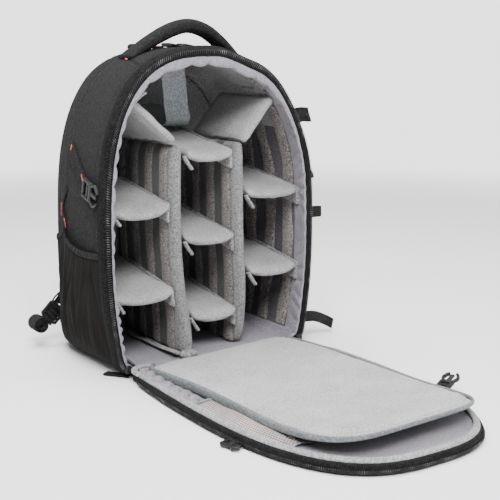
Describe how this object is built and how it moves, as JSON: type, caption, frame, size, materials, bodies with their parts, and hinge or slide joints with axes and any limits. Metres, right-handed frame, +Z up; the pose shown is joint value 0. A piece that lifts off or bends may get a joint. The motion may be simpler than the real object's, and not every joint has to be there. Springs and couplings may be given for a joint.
{
  "type": "camera backpack",
  "caption": "Camera backpack standing open, its front flap laid down, with padded dividers and sagging shelves inside, mesh side pockets, a carry handle and shoulder straps.",
  "frame": {"origin": "middle of the bag's base, on the floor it stands on", "axes": "+X to the bag's right as seen from its open front, +Y from the open front to the wearer's back, +Z up"},
  "size_m": [0.408, 0.6832, 0.4605],
  "materials": {
    "shell_cloth": "charcoal woven nylon canvas, matte",
    "satin_lining": "lavender-grey satin nylon, puckered",
    "brushed_padding": "grey brushed loop cloth over foam",
    "grey_webbing": "blue-grey twill webbing",
    "black_webbing": "black ribbed webbing",
    "pocket_mesh": "dark brown-black open mesh, gathered",
    "pale_mesh": "pale pinkish-grey mesh",
    "zip": "black coil zip on woven tape",
    "buckle": "black moulded plastic, satin"
  },
  "bodies": {
    "root": {"left_side_panel": "shell_cloth", "top_panel": "shell_cloth", "right_side_panel": "shell_cloth", "bottom_panel": "shell_cloth", "back_panel": "shell_cloth", "lining_back": "brushed_padding", "lining_sleeve": "satin_lining", "body_zip": "zip", "divider_left": "brushed_padding", "divider_right": "brushed_padding", "divider_foot": "brushed_padding", "shelf_left_upper": "brushed_padding", "shelf_left_lower": "brushed_padding", "shelf_center_upper": "brushed_padding", "shelf_center_middle": "brushed_padding", "shelf_center_lower": "brushed_padding", "shelf_right_upper": "brushed_padding", "shelf_right_lower": "brushed_padding", "slant_left": "brushed_padding", "slant_right": "brushed_padding", "webbing_loop": "grey_webbing", "carry_handle": "shell_cloth", "left_pocket": "pocket_mesh", "left_pocket_binding": "black_webbing", "left_side_strap": "black_webbing", "left_side_buckle": "buckle", "right_pocket": "pocket_mesh", "right_pocket_binding": "black_webbing", "right_side_strap": "black_webbing", "right_side_buckle": "buckle", "left_thin_strap": "black_webbing", "top_strap": "black_webbing", "top_tab": "black_webbing", "top_buckle": "buckle", "right_loop_upper": "black_webbing", "right_loop_lower": "black_webbing", "left_floor_strap": "black_webbing", "right_floor_strap": "black_webbing", "shoulder_strap_left": "shell_cloth", "shoulder_strap_right": "shell_cloth", "strap_web_left": "black_webbing", "strap_web_right": "black_webbing", "strap_anchor_left": "black_webbing", "strap_anchor_right": "black_webbing", "ladder_buckle_left": "buckle", "ladder_buckle_right": "buckle", "strap_roll_left": "black_webbing", "strap_roll_right": "black_webbing", "cord_loop_left": "black_webbing", "flap_panel": "shell_cloth", "flap_hinge": "shell_cloth", "flap_rim": "satin_lining", "flap_lining": "satin_lining", "flap_zip": "zip", "flap_inner_panel": "brushed_padding", "flap_mesh_pocket": "pale_mesh", "flap_buckle_left": "buckle", "flap_buckle_right": "buckle", "zip_slider_left": "buckle", "zip_slider_right": "buckle"}
  },
  "joints": []
}
